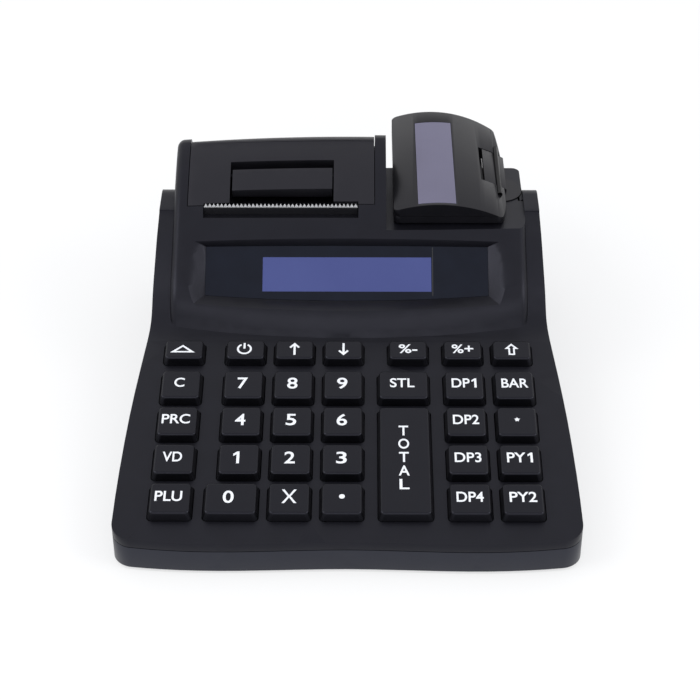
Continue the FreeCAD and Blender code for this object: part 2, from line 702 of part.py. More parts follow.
def case_screws():
    screws = []
    for x, d in SCREW_PLACES:
        z = UNDERSIDE_HEIGHT + PANEL_GAP
        head = post(x, d, z, z + SCREW_HEAD_HEIGHT, SCREW_HEAD_RADIUS)
        slot = block(x - SCREW_HEAD_RADIUS, x + SCREW_HEAD_RADIUS, d - PANEL_GAP, d + PANEL_GAP, z - FIT,
                     z + SCREW_HEAD_HEIGHT / 2)
        shank = post(x, d, z + SCREW_HEAD_HEIGHT / 2, SCREW_TOP, SCREW_RADIUS)
        screws.append(head.fuse(shank).cut(slot))
    return Part.makeCompound(screws)


def rubber_feet():
    return Part.makeCompound([post(x, d, 0, FOOT_THICKNESS, FOOT_RADIUS) for x, d in FOOT_PLACES])


def main_board():
    top = MAIN_HEIGHT + BOARD_THICKNESS
    board = block(MAIN_LEFT, MAIN_RIGHT, MAIN_FRONT, MAIN_REAR, MAIN_HEIGHT, top)
    rear = BODY_DEPTH - FIT
    front = rear - PORT_DEPTH
    half_jack = JACK_WIDTH / 2
    half_socket = SOCKET_WIDTH / 2
    jack = block(JACK_X - half_jack, JACK_X + half_jack, front, rear, top - FIT, top + JACK_HEIGHT)
    socket_top = top + SOCKET_HEIGHT
    socket = block(SOCKET_X - half_socket, SOCKET_X + half_socket, front, rear, top - FIT, socket_top)
    middle = top + JACK_HEIGHT / 2
    bore = lengthwise(JACK_X, front + WALL, rear + WALL, middle, JACK_BORE)
    tip = lengthwise(JACK_X, front, rear - WALL, middle, JACK_BORE / 3)
    m = SOCKET_MOUTH / 2
    z = top + SOCKET_HEIGHT / 2
    mouth = block(SOCKET_X - m, SOCKET_X + m, front + WALL, rear + WALL, z - m * 0.8, z + m * 0.6)
    chip_size = JACK_HEIGHT
    chips = []
    for i in range(2):
        x = MAIN_LEFT + chip_size + 2 * i * chip_size
        d = MAIN_FRONT + chip_size + i * chip_size
        chips.append(block(x, x + chip_size, d, d + chip_size, top - FIT, top + WALL / 2))
    return joined([board, jack, socket] + chips).cut([bore, mouth]).fuse(tip)


def battery_pack():
    z = INNER_FLOOR + PANEL_GAP + CELL_RADIUS
    rear = CELL_FRONT + CELL_LENGTH
    half = CELL_RADIUS / 2
    cells = [lengthwise(x, CELL_FRONT, rear, z, CELL_RADIUS) for x in CELL_X]
    web = block(CELL_X[0], CELL_X[1], CELL_FRONT, rear, z - half, z + half)
    return joined(cells + [web])


def printer_frame():
    foot = INNER_FLOOR + PANEL_GAP
    left = block(CHEEK_LEFT, CHEEK_LEFT + CHEEK_THICKNESS, CHEEK_FRONT, CHEEK_REAR, foot, CHEEK_TOP)
    right = block(CHEEK_RIGHT - CHEEK_THICKNESS, CHEEK_RIGHT, CHEEK_FRONT, CHEEK_REAR, foot, CHEEK_TOP)
    x0 = CHEEK_LEFT + CHEEK_THICKNESS / 2
    x1 = CHEEK_RIGHT - CHEEK_THICKNESS / 2
    inner = PAPER_RADIUS + PANEL_GAP
    trough = rod(x0, x1, PAPER_DEPTH, PAPER_HEIGHT, inner + CHEEK_THICKNESS)
    bore = rod(x0 - OVERRUN, x1 + OVERRUN, PAPER_DEPTH, PAPER_HEIGHT, inner)
    upper = block(x0 - OVERRUN, x1 + OVERRUN, 0, BODY_DEPTH, PAPER_HEIGHT - PAPER_RADIUS / 2, BLOCK_HEIGHT)
    trough = trough.cut([bore, upper])
    beam_rear = PLATEN_DEPTH - CHEEK_THICKNESS
    beam = block(x0, x1, CHEEK_FRONT, beam_rear, CHEEK_TOP - 2 * WALL, CHEEK_TOP - WALL / 2)
    top = CHEEK_TOP - GEAR_CENTRES * 2
    low = top - CHEEK_THICKNESS
    front = PLATEN_DEPTH - WALL
    rear = DRIVE_DEPTH + MOTOR_RADIUS
    outside = BRACKET_LEFT + CHEEK_THICKNESS
    strip = block(CHEEK_RIGHT - FIT, outside, front, rear, low, top)
    plate = block(BRACKET_LEFT, outside, front, rear, low, DRIVE_HEIGHT + MOTOR_RADIUS)
    shaft = rod(BRACKET_LEFT - FIT, outside + FIT, DRIVE_DEPTH, DRIVE_HEIGHT, SHAFT_RADIUS + PANEL_GAP)
    return joined([left, right, trough, beam, strip, plate]).cut(shaft)


def print_head():
    top = PLATEN_HEIGHT - PLATEN_RADIUS - PANEL_GAP
    x0 = CHEEK_LEFT + CHEEK_THICKNESS + WALL
    x1 = CHEEK_RIGHT - CHEEK_THICKNESS - WALL
    return block(x0, x1, CHEEK_FRONT + WALL / 2, PLATEN_DEPTH, CHEEK_TOP - WALL / 2, top)


def gear(x, d, z, teeth, width, turn, bore):
    root = MODULE * (teeth / 2 - 1.15)
    tip = MODULE * (teeth / 2 + 0.85)
    points = []
    for i in range(teeth):
        centre = 2 * math.pi * i / teeth + turn
        for radius, share in ((root, -0.34), (tip, -0.13), (tip, 0.13), (root, 0.34)):
            angle = centre + share * 2 * math.pi / teeth
            points.append(Vector(x, d + radius * math.cos(angle), z + radius * math.sin(angle)))
    face = Part.Face(Part.makePolygon(points + points[:1]))
    return face.extrude(Vector(width, 0, 0)).cut(rod(x - FIT, x + width + FIT, d, z, bore))


def mesh_angle():
    return math.atan2(DRIVE_HEIGHT - PLATEN_HEIGHT, DRIVE_DEPTH - PLATEN_DEPTH)


def platen_gear():
    return gear(GEAR_LEFT, PLATEN_DEPTH, PLATEN_HEIGHT, PLATEN_TEETH, GEAR_WIDTH, mesh_angle(), SHAFT_RADIUS)


def drive_gear():
    turn = mesh_angle() + math.pi + math.pi / DRIVE_TEETH
    wheel = gear(GEAR_LEFT, DRIVE_DEPTH, DRIVE_HEIGHT, DRIVE_TEETH, GEAR_WIDTH, turn, SHAFT_RADIUS)
    shaft = rod(GEAR_LEFT, BRACKET_LEFT + CHEEK_THICKNESS + WALL, DRIVE_DEPTH, DRIVE_HEIGHT, SHAFT_RADIUS)
    return wheel.fuse(shaft)


def feed_motor():
    x = BRACKET_LEFT + CHEEK_THICKNESS + FIT
    can = rod(x, x + MOTOR_LENGTH, DRIVE_DEPTH, DRIVE_HEIGHT, MOTOR_RADIUS)
    bore = rod(x - FIT, x + WALL + FIT, DRIVE_DEPTH, DRIVE_HEIGHT, SHAFT_RADIUS + RUNNING)
    return can.cut(bore)


def bearer_x():
    return (SLOT_LEFT - WALL, CHEEK_RIGHT - BEARER_LENGTH - PANEL_GAP)


def platen_roller():
    left, right = bearer_x()
    start = left + BEARER_LENGTH + PANEL_GAP
    sleeve = rod(start, right - PANEL_GAP, PLATEN_DEPTH, PLATEN_HEIGHT, PLATEN_RADIUS)
    shaft = rod(left - WALL / 2, GEAR_LEFT + GEAR_WIDTH, PLATEN_DEPTH, PLATEN_HEIGHT, SHAFT_RADIUS)
    return sleeve.fuse(shaft)


def paper_roll():
    x0 = PAPER_CENTRE - PAPER_WIDTH / 2
    x1 = PAPER_CENTRE + PAPER_WIDTH / 2
    roll = rod(x0, x1, PAPER_DEPTH, PAPER_HEIGHT, PAPER_RADIUS)
    return roll.cut(rod(x0 - FIT, x1 + FIT, PAPER_DEPTH, PAPER_HEIGHT, PAPER_BORE))


def rolling_lip():
    half = HALF_BLOCK - WALL
    axis = Vector(0, HINGE_DEPTH, HINGE_HEIGHT)
    rims = []
    for x, crown in ((-half, 0), (0, BLOCK_CROWN), (half, 0)):
        top = BLOCK_HEIGHT + crown - FIT
        rims.append((Vector(x, HINGE_DEPTH, top), Vector(x, HINGE_DEPTH, top - LIP_THICKNESS)))
    upper = Part.Arc(*[pair[0] for pair in rims]).toShape()
    lower = Part.Arc(*[pair[1] for pair in rims]).toShape()
    ends = [Part.makeLine(rims[i][0], rims[i][1]) for i in (0, 2)]
    face = Part.Face(Part.Wire([upper, ends[1], lower, ends[0]]))
    face.rotate(axis, Vector(1, 0, 0), LIP_OVERLAP)
    return face.revolve(axis, Vector(-1, 0, 0), LIP_TURN + LIP_OVERLAP)


def platen_bearers(outer):
    front = PLATEN_DEPTH - SHAFT_RADIUS - WALL / 2
    rear = PLATEN_DEPTH + SHAFT_RADIUS + WALL
    low = PLATEN_HEIGHT - SHAFT_RADIUS - WALL / 2
    arms = [block(x, x + BEARER_LENGTH, front, rear, low, SKY) for x in bearer_x()]
    return [arm.common(outer) for arm in arms]


def cover_knuckles(outer, x0, x1):
    knuckles = []
    for x in (x0, x1 - HINGE_LUG_LENGTH):
        end = x + HINGE_LUG_LENGTH
        web = block(x, end, HINGE_DEPTH - HINGE_LUG_RADIUS, HINGE_DEPTH, HINGE_HEIGHT, SKY).common(outer)
        knuckles += [rod(x, end, HINGE_DEPTH, HINGE_HEIGHT, HINGE_LUG_RADIUS), web]
    return knuckles


def well_tub():
    wall = WELL_WALL
    front = WELL_FRONT - wall
    rear = WELL_REAR + wall
    return block(WELL_LEFT - wall, WELL_RIGHT + wall, front, rear, WELL_FLOOR - wall, SKY)


def printer_cover(outer, inner):
    x0 = COVER_LEFT + PANEL_GAP
    x1 = COVER_RIGHT - PANEL_GAP
    ahead = block(x0, x1, 0, HINGE_DEPTH, 0, SKY)
    reach = rod(x0, x1, HINGE_DEPTH, HINGE_HEIGHT, COVER_REACH).common(ahead)
    high = block(x0, x1, 0, HINGE_DEPTH, SHELF_HEIGHT, SKY)
    skin = outer.cut(inner).common(reach).common(high)
    lip = rolling_lip().common(block(x0, x1, 0, BODY_DEPTH, 0, SKY))
    tub = well_tub().common(outer).common(reach)
    pieces = [skin, lip, tub] + platen_bearers(outer) + cover_knuckles(outer, x0, x1)
    pivot = (BAR_PIVOT_DEPTH, BAR_PIVOT_HEIGHT)
    pins = rod(WELL_LEFT - WALL, WELL_RIGHT + WALL, *pivot, BAR_PIN_RADIUS + RUNNING)
    shaft = rod(x0 - FIT, x1 + FIT, PLATEN_DEPTH, PLATEN_HEIGHT, SHAFT_RADIUS + RUNNING)
    pin = rod(x0 - FIT, x1 + FIT, HINGE_DEPTH, HINGE_HEIGHT, HINGE_PIN_RADIUS + RUNNING)
    well = block(WELL_LEFT, WELL_RIGHT, 0, WELL_REAR, WELL_FLOOR, SKY)
    slot = block(SLOT_LEFT, SLOT_RIGHT, 0, SLOT_REAR, WELL_FLOOR, SKY)
    return joined(pieces).cut([well, slot, pins, shaft, pin])


def release_lever(outer):
    x0 = WELL_LEFT + WELL_WALL - PANEL_GAP
    x1 = WELL_RIGHT - WELL_WALL / 2
    low = BAR_PIVOT_HEIGHT + PANEL_GAP - BAR_THICKNESS
    rise = (BAR_REAR - BAR_FRONT) * math.tan(math.radians(BAR_SLOPE))
    points = [(BAR_FRONT, low), (BAR_REAR, low + rise), (BAR_REAR, SKY), (BAR_FRONT, SKY)]
    bar = across(points, x0, x1).common(outer)
    hub = rod(x0, x1, BAR_PIVOT_DEPTH, BAR_PIVOT_HEIGHT, BAR_PIVOT_RADIUS)
    half = WALL * ROOT_SHARE
    web = block(x0, x1, BAR_REAR - WALL, BAR_PIVOT_DEPTH, BAR_PIVOT_HEIGHT - half, BAR_PIVOT_HEIGHT + half)
    ends = (WELL_LEFT - WELL_WALL, WELL_RIGHT + WELL_WALL)
    pins = rod(*ends, BAR_PIVOT_DEPTH, BAR_PIVOT_HEIGHT, BAR_PIN_RADIUS)
    return joined([bar, hub, web, pins])


def pod_plan(inset):
    width = POD_RIGHT - POD_LEFT
    depth = POD_REAR - POD_FRONT
    right = [Vector(POD_LEFT + width * a - inset, POD_FRONT + depth * b, 0) for a, b in POD_RIGHT_SHARES]
    right[0].y += inset
    rear = [Vector(POD_LEFT + width * a, POD_FRONT + depth * b - inset, 0) for a, b in POD_REAR_SHARES]
    left_rear = Vector(POD_LEFT + inset, POD_REAR - inset - PANEL_GAP, 0)
    left_front = Vector(POD_LEFT + inset, POD_FRONT + inset, 0)
    edges = [Part.makeLine(left_front, right[0]), spline(right), spline([right[-1]] + rear + [left_rear])]
    edges.append(Part.makeLine(left_rear, left_front))
    prism = Part.Face(Part.Wire(edges)).extrude(Vector(0, 0, POD_TOP + OVERRUN))
    corners = [e for e in prism.Edges if e.BoundBox.ZLength > POD_TOP]
    return prism.makeFillet(POD_CORNER_RADIUS, corners)


def pod_crown(lowered):
    axis_height = POD_TOP - POD_CROWN_RADIUS
    return lengthwise(POD_CENTRE, 0, POD_REAR * 2, axis_height, POD_CROWN_RADIUS - lowered)


def pod_solid():
    edge_radius = PIVOT_HEIGHT - POD_UNDERSIDE
    left = block(0, PIVOT_X, 0, POD_REAR * 2, POD_UNDERSIDE, POD_TOP + OVERRUN)
    right = block(PIVOT_X - FIT, PIVOT_X + edge_radius, 0, POD_REAR * 2, PIVOT_HEIGHT, POD_TOP + OVERRUN)
    roll = lengthwise(PIVOT_X, 0, POD_REAR * 2, PIVOT_HEIGHT, edge_radius)
    solid = pod_plan(0).common(pod_crown(0)).common(joined([left, right, roll]))
    notch = block(NOTCH_LEFT, POD_RIGHT * 2, NOTCH_FRONT, NOTCH_REAR, 0, POD_TOP + OVERRUN)
    pin = lengthwise(PIVOT_X, PIN_FRONT - FIT, PIN_REAR + FIT, PIVOT_HEIGHT, PIVOT_PIN_RADIUS + RUNNING)
    return solid.cut([notch, pin])


def pod_window(z0, z1, inset):
    return block(WINDOW_LEFT + inset, WINDOW_RIGHT - inset, WINDOW_FRONT + inset, WINDOW_REAR - inset, z0, z1)


def lcd2_room(gap):
    top = WINDOW_SEAT - POD_WALL
    low = top - LCD2_THICKNESS - gap
    return block(LCD2_LEFT - gap, LCD2_RIGHT + gap, LCD2_FRONT - gap, LCD2_REAR + gap, low, top)


def display_top_shell(solid):
    upper = block(0, BODY_WIDTH, 0, POD_REAR * 2, POD_SPLIT, POD_TOP + OVERRUN)
    shell = solid.common(upper)
    sight = pod_window(POD_SPLIT, POD_TOP, POD_WALL)
    return shell.cut([lcd2_room(PANEL_GAP), pod_window(WINDOW_SEAT, POD_TOP + OVERRUN, 0), sight])


def display_bottom_shell(solid):
    lower = block(0, BODY_WIDTH, 0, POD_REAR * 2, 0, POD_SPLIT - FIT)
    return solid.common(lower).cut(lcd2_room(PANEL_GAP))


def customer_lens():
    return pod_crown(FIT).common(pod_window(WINDOW_SEAT + FIT, POD_TOP + OVERRUN, FIT))


def customer_lcd():
    return lcd2_room(-FIT)


def display_neck():
    edge = POD_RIGHT * 1.05
    knuckle = block(NECK_LEFT, edge, NOTCH_FRONT + PANEL_GAP, NOTCH_REAR - PANEL_GAP, DISC_TOP, POD_TOP)
    knuckle = knuckle.common(pod_crown(FIT))
    disc = post(DISC_X, DISC_DEPTH, DISC_BOTTOM, DISC_TOP, DISC_RADIUS)
    lip_top = SPINDLE_BOSS_BOTTOM - PANEL_GAP
    spindle = post(DISC_X, DISC_DEPTH, lip_top - SPINDLE_LIP, DISC_TOP, SPINDLE_RADIUS)
    lip = post(DISC_X, DISC_DEPTH, lip_top - SPINDLE_LIP, lip_top, SPINDLE_RADIUS + SPINDLE_LIP)
    pin = lengthwise(PIVOT_X, PIN_FRONT, PIN_REAR, PIVOT_HEIGHT, PIVOT_PIN_RADIUS + RUNNING)
    return joined([knuckle, disc, spindle, lip]).cut(pin)


def display_hinge_pin():
    return lengthwise(PIVOT_X, PIN_FRONT, PIN_REAR, PIVOT_HEIGHT, PIVOT_PIN_RADIUS)


def all_parts():
    outer = body_solid(0)
    inner = body_solid(WALL)
    pod = pod_solid()
    parts = {
        "top_case": top_case(outer, inner),
        "bottom_case": bottom_case(outer, inner),
        "display_lens": display_lens(),
        "operator_lcd": operator_lcd(),
        "keypad_mat": keypad_mat(),
        "key_board": key_board(),
        "main_board": main_board(),
        "battery_pack": battery_pack(),
        "printer_cover": printer_cover(outer, inner),
        "release_lever": release_lever(outer),
        "cover_hinge_pin": cover_hinge_pin(),
        "platen_roller": platen_roller(),
        "platen_gear": platen_gear(),
        "drive_gear": drive_gear(),
        "feed_motor": feed_motor(),
        "printer_frame": printer_frame(),
        "print_head": print_head(),
        "tear_bar": tear_bar(),
        "paper_roll": paper_roll(),
        "rubber_feet": rubber_feet(),
        "case_screws": case_screws(),
        "display_top_shell": display_top_shell(pod),
        "display_bottom_shell": display_bottom_shell(pod),
        "customer_lens": customer_lens(),
        "customer_lcd": customer_lcd(),
        "display_neck": display_neck(),
        "display_hinge_pin": display_hinge_pin(),
    }
    parts.update(key_parts())
    return parts


def write(name, shape):
    solids = [s.removeSplitter() for s in shape.Solids]
    result = Part.makeCompound(solids) if len(solids) > 1 else solids[0]
    result.translate(CENTRE_SHIFT)
    result.exportStep("parts/" + name + ".step")
    box = result.BoundBox
    print(name, len(solids), result.isValid(), round(result.Volume),
          [round(v, 1) for v in (box.XMin, box.XMax, box.YMin, box.YMax, box.ZMin, box.ZMax)])


for part_name, part_shape in all_parts().items():
    write(part_name, part_shape)
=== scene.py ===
import bpy
import json
import math
from mathutils import Matrix, Vector


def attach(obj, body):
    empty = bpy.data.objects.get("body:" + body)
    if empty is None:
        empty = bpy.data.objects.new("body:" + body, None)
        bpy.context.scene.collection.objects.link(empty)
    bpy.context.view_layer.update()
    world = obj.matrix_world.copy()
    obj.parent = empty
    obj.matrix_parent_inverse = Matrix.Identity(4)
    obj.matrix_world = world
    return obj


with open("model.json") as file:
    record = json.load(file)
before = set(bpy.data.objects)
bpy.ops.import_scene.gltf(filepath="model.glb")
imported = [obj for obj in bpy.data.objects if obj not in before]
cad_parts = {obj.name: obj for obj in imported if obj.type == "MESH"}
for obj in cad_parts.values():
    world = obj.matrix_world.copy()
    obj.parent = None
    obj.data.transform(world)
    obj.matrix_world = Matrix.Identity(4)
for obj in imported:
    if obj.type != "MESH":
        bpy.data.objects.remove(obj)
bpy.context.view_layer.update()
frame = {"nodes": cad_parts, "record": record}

# Lengths are in millimetres, apart from the stage, and angles in degrees
# Depth is measured from the keyboard's front edge
MM = 0.001
DEPTH_SHIFT = -108.7

# Camera of the photograph
CAMERA_PLACE = (4.31, -486.44, 464.85)
CAMERA_DOWN = 36.844
CAMERA_YAW = -0.37
CAMERA_ROLL = -0.099
CAMERA_LENS = 95.73
CAMERA_NEAR = 10.0
SENSOR_WIDTH = 36.0

# Keyboard, as built: places across the deck, and along it from its front edge
DECK_TILT = 8.0
DECK_FRONT_HEIGHT = 14.0
KEY_PITCH = 19.05
KEY_HEIGHT = 3.5
CODE_COLUMN = -63.95
DIGIT_COLUMNS = [-40.05 + KEY_PITCH * i for i in range(3)]
ZERO_COLUMN = -42.1
TOTAL_COLUMN = 21.1
PERCENT_COLUMN = 23.15
DEPARTMENT_COLUMN = 44.35
PAY_COLUMN = DEPARTMENT_COLUMN + KEY_PITCH
ROWS = [18.8 + KEY_PITCH * i for i in range(4)]
FUNCTION_ROW = 94.95

# Legends: sizes, and how far each kind stands from the middle of its key
INK_HEIGHT = 0.03
INK_THICKNESS = 0.05
FONT_SIZE = 10
BOLD = 0.013
LETTER_HEIGHT = 4.8
LETTER_RISE = 0.8
PAIR_WIDTH = 6.9
PAIR_SHIFT = -1.4
ONE_SHIFT = 4.2
DIGIT_HEIGHT = 5.8
DIGIT_WIDTH = 3.9
DIGIT_SHIFT = -0.35
DIGIT_RISE = 0.5
PERCENT_RISE = 0.3
CODE_SHIFT = -0.6
WIDE_SHIFT = -0.5
DEPARTMENT_SHIFT = -0.1
BAR_SHIFT = 0.2
POWER_SHIFT = -0.5
TOTAL_HEIGHT = 4.9
TOTAL_SPACING = 6.6
TOTAL_SHIFT = -0.4
TOTAL_RISE = 0.9
ROUND_LETTER_WIDTH = 4.0
STRAIGHT_LETTER_WIDTH = 3.6

# Display face, as built: edges are left, right, low and high on the tilted face
FACE_TILT = 36.5
FACE_DEPTH = 113.0
FACE_HEIGHT = 39.0
FACE_CENTRE = -0.9
LENS_DROP = 3.2
LCD_EDGES = (-34.4, 32.8, 5.7, 20.1)
LCD_LIFT = 0.06
SEAM_EDGES = (33.2, 33.5, 4.0, 24.4)
SEAM_LIFT = 0.04
SEAM_THICKNESS = 0.03

# Heights above the table at which two pieces change colour: the main board's chips, and the tear bar's
# painted shade below its teeth
MAIN_BOARD_TOP = 7.85
TEAR_BAR_TOP = 63.1
TOOTH_HEIGHT = 1.5

# Customer display, as built: edges are left, right, front and rear
POD_WINDOW = (27.4, 43.1, 144.0, 208.6)
POD_WINDOW_INSET = 0.25
POD_WINDOW_LIFT = 0.01
POD_TOP = 65.9
POD_CROWN_RADIUS = 56.0
POD_CENTRE = 36.0
NOTCH_GAP = (54.0, 55.45, 168.0, 192.5)
NOTCH_GAP_HEIGHT = 58.2
NOTCH_SHADE_THICKNESS = 0.3
PANEL_THICKNESS = 0.05

# Rounding of the moulded edges
EDGE_RADII = {"top_case": 0.9, "bottom_case": 0.8, "printer_cover": 0.4, "release_lever": 0.5,
              "display_top_shell": 0.5, "display_bottom_shell": 0.4, "display_neck": 0.5}
EDGE_SEGMENTS = 3
EDGE_ANGLE = 35.0
WELD_DISTANCE = 0.002

# Material features: a grain's depth is a share of its size
TONE_SPREAD = 9.0
TONE_REACH = 0.25
WEAR_SPREAD = 14.0
WEAR = 0.06
GRAIN_DEPTH = 0.25
FINE_DETAIL = 3.0
WEAR_DETAIL = 4.0
TONE_DETAIL = 5.0

# Nodes whose material is not that of their slot
OWN_MATERIALS = {"bottom_case": "base_plastic", "display_hinge_pin": "dark_steel",
                 "cover_hinge_pin": "dark_steel", "case_screws": "dark_steel",
                 "tear_bar": "tear_steel", "main_board": "fitted_board"}

# Stage, in metres and watts: each lamp's name, place, target, width and height, and power
WHITE = (1.0, 1.0, 1.0, 1.0)
FLOOR_REACH = 3.0
FLOOR_COLOUR = (0.97, 0.97, 0.97, 1.0)
FLOOR_ROUGHNESS = 0.9
FLOOR_WHITE_SHARE = 0.6
WORLD_COLOUR = (0.94, 0.96, 1.0, 1.0)
WORLD_STRENGTH = 0.8
LAMPS = [("left_lamp", (-1.0, -0.25, 0.9), (0.0, 0.0, 0.0), (0.8, 0.8), 5.6),
         ("right_lamp", (1.0, -0.35, 0.8), (0.0, 0.0, 0.02), (0.7, 0.7), 4.4),
         ("front_lamp", (0.0, -1.6, 0.85), (0.0, 0.0, 0.03), (1.6, 0.5), 4.5)]


def metres(x, d, z):
    """The scene's place of a point across, in depth and above the table."""
    return Vector((x * MM, (d + DEPTH_SHIFT) * MM, z * MM))


def tone(red, green, blue):
    """A linear colour from its usual 0 to 255 values."""
    channels = []
    for value in (red, green, blue):
        share = value / 255
        channels.append(share / 12.92 if share <= 0.04045 else ((share + 0.055) / 1.055) ** 2.4)
    return (*channels, 1.0)


def plain_material(name, colour, roughness, **inputs):
    """A material and its shader; further inputs are named with underscores for spaces."""
    material = bpy.data.materials.new(name)
    material.use_nodes = True
    shader = material.node_tree.nodes["Principled BSDF"]
    shader.inputs["Base Color"].default_value = colour
    shader.inputs["Roughness"].default_value = roughness
    for key, value in inputs.items():
        shader.inputs[key.replace("_", " ")].default_value = value
    return material, shader


def noise(material, size, detail):
    """Noise on the object, with features of a size in millimetres."""
    nodes = material.node_tree.nodes
    place = nodes.new("ShaderNodeTexCoord")
    texture = nodes.new("ShaderNodeTexNoise")
    texture.inputs["Scale"].default_value = 1 / (size * MM)
    texture.inputs["Detail"].default_value = detail
    material.node_tree.links.new(place.outputs["Object"], texture.inputs["Vector"])
    return texture.outputs["Fac"]


def add_grain(material, shader, size, strength, spread, roughness):
    """Moulded grain: a fine bump, and slight changes in roughness over a few millimetres."""
    nodes = material.node_tree.nodes
    links = material.node_tree.links
    bump = nodes.new("ShaderNodeBump")
    bump.inputs["Strength"].default_value = strength
    bump.inputs["Distance"].default_value = size * MM * GRAIN_DEPTH
    wear = nodes.new("ShaderNodeMapRange")
    wear.inputs["To Min"].default_value = roughness - WEAR
    wear.inputs["To Max"].default_value = roughness + WEAR
    links.new(noise(material, size, FINE_DETAIL), bump.inputs["Height"])
    links.new(bump.outputs["Normal"], shader.inputs["Normal"])
    links.new(noise(material, spread, WEAR_DETAIL), wear.inputs["Value"])
    links.new(wear.outputs["Result"], shader.inputs["Roughness"])


def add_two_tones(material, shader, dark, light, spread, contrast=1.0):
    """Slow colour changes between two tones."""
    links = material.node_tree.links
    ramp = material.node_tree.nodes.new("ShaderNodeValToRGB")
    reach = TONE_REACH / contrast
    ramp.color_ramp.elements[0].position = 0.5 - reach
    ramp.color_ramp.elements[1].position = 0.5 + reach
    ramp.color_ramp.elements[0].color = dark
    ramp.color_ramp.elements[1].color = light
    links.new(noise(material, spread, TONE_DETAIL), ramp.inputs["Fac"])
    links.new(ramp.outputs["Color"], shader.inputs["Base Color"])


def moulded(name, dark, light, roughness, size=0.35, strength=0.25, **inputs):
    """A surface of two close tones with grain of a size in millimetres."""
    material, shader = plain_material(name, light, roughness, **inputs)
    add_two_tones(material, shader, dark, light, TONE_SPREAD)
    add_grain(material, shader, size, strength, WEAR_SPREAD, roughness)
    return material


def colour_by_height(material, shader, height, blend, below, above):
    """One colour below a height above the table and another above it, both in millimetres."""
    nodes = material.node_tree.nodes
    links = material.node_tree.links
    place = nodes.new("ShaderNodeTexCoord")
    split = nodes.new("ShaderNodeSeparateXYZ")
    span = nodes.new("ShaderNodeMapRange")
    span.inputs["From Min"].default_value = (height - blend) * MM
    span.inputs["From Max"].default_value = (height + blend) * MM
    ramp = nodes.new("ShaderNodeValToRGB")
    ramp.color_ramp.elements[0].color = below
    ramp.color_ramp.elements[1].color = above
    links.new(place.outputs["Object"], split.inputs["Vector"])
    links.new(split.outputs["Z"], span.inputs["Value"])
    links.new(span.outputs["Result"], ramp.inputs["Fac"])
    links.new(ramp.outputs["Color"], shader.inputs["Base Color"])


def tear_steel():
    """Steel, bright on its teeth and painted dark on the plate below them: painted shade, and a painted
    reflection of the dark shelf under the plate.
    """
    bright = tone(240, 240, 242)
    dark = tone(34, 34, 38)
    roughness = 0.3
    material, shader = plain_material("tear_steel", bright, roughness, Metallic=0.4)
    # The plate below the teeth is painted shade, a painted reflection of the dark shelf; only the teeth
    # keep the bright steel.
    colour_by_height(material, shader, TEAR_BAR_TOP - TOOTH_HEIGHT, blend=0.3, below=dark, above=bright)
    add_grain(material, shader, size=0.15, strength=0.1, spread=WEAR_SPREAD, roughness=roughness)
    return material


def fitted_board():
    """Green board with black plastic sockets and chips on it."""
    green = tone(28, 92, 52)
    black = tone(24, 24, 26)
    roughness = 0.4
    material, shader = plain_material("fitted_board", green, roughness)
    colour_by_height(material, shader, MAIN_BOARD_TOP, blend=0.02, below=green, above=black)
    add_grain(material, shader, size=0.4, strength=0.15, spread=TONE_SPREAD, roughness=roughness)
    return material


def add_plastics(made):
    made["case_plastic"] = moulded("case_plastic", tone(10, 10, 14), tone(14, 14, 19), 0.36,
                                   Specular_IOR_Level=0.26, Specular_Tint=(0.8, 0.81, 1.0, 1.0))
    made["base_plastic"] = moulded("base_plastic", tone(12, 13, 18), tone(16, 17, 23), 0.36,
                                   Specular_IOR_Level=0.55, Specular_Tint=(0.78, 0.81, 1.0, 1.0))
    made["cover_plastic"] = moulded("cover_plastic", tone(9, 9, 12), tone(13, 13, 16), 0.34,
                                    Specular_IOR_Level=0.4, Specular_Tint=(0.85, 0.84, 1.0, 1.0))
    made["pod_plastic"] = moulded("pod_plastic", tone(9, 9, 12), tone(13, 13, 16), 0.3,
                                  Specular_IOR_Level=0.27, Specular_Tint=(0.87, 0.86, 1.0, 1.0))
    made["key_plastic"] = moulded("key_plastic", tone(6, 6, 8), tone(10, 10, 12), 0.32, size=0.25,
                                  strength=0.2, Specular_IOR_Level=0.28,
                                  Specular_Tint=(0.77, 0.78, 1.0, 1.0))
    made["smoked_window"] = moulded("smoked_window", tone(14, 16, 26), tone(18, 21, 32), 0.12, size=0.6,
                                    strength=0.02, Specular_IOR_Level=0.17,
                                    Specular_Tint=(0.85, 0.9, 1.0, 1.0))
    made["lcd_glass"] = moulded("lcd_glass", tone(72, 80, 138), tone(82, 90, 150), 0.2, size=0.6,
                                strength=0.02)
    made["frame_plastic"] = moulded("frame_plastic", tone(46, 46, 48), tone(60, 60, 62), 0.5)
    made["gear_plastic"] = moulded("gear_plastic", tone(216, 214, 204), tone(232, 230, 222), 0.4)


def add_rubbers(made):
    made["rubber"] = moulded("rubber", tone(34, 34, 34), tone(48, 48, 48), 0.8, size=0.3, strength=0.4)
    made["platen_rubber"] = moulded("platen_rubber", tone(30, 30, 31), tone(42, 42, 44), 0.7, size=0.2,
                                    strength=0.5)


def add_metals(made):
    made["steel"] = moulded("steel", tone(196, 196, 194), tone(222, 222, 220), 0.26, size=0.15,
                            strength=0.15, Metallic=1.0)
    made["tear_steel"] = tear_steel()
    made["dark_steel"] = moulded("dark_steel", tone(26, 26, 28), tone(36, 36, 38), 0.3, size=0.15,
                                 strength=0.1, Metallic=1.0)
    made["head"] = moulded("head", tone(150, 152, 156), tone(182, 184, 188), 0.3, size=0.2,
                           strength=0.2, Metallic=1.0)


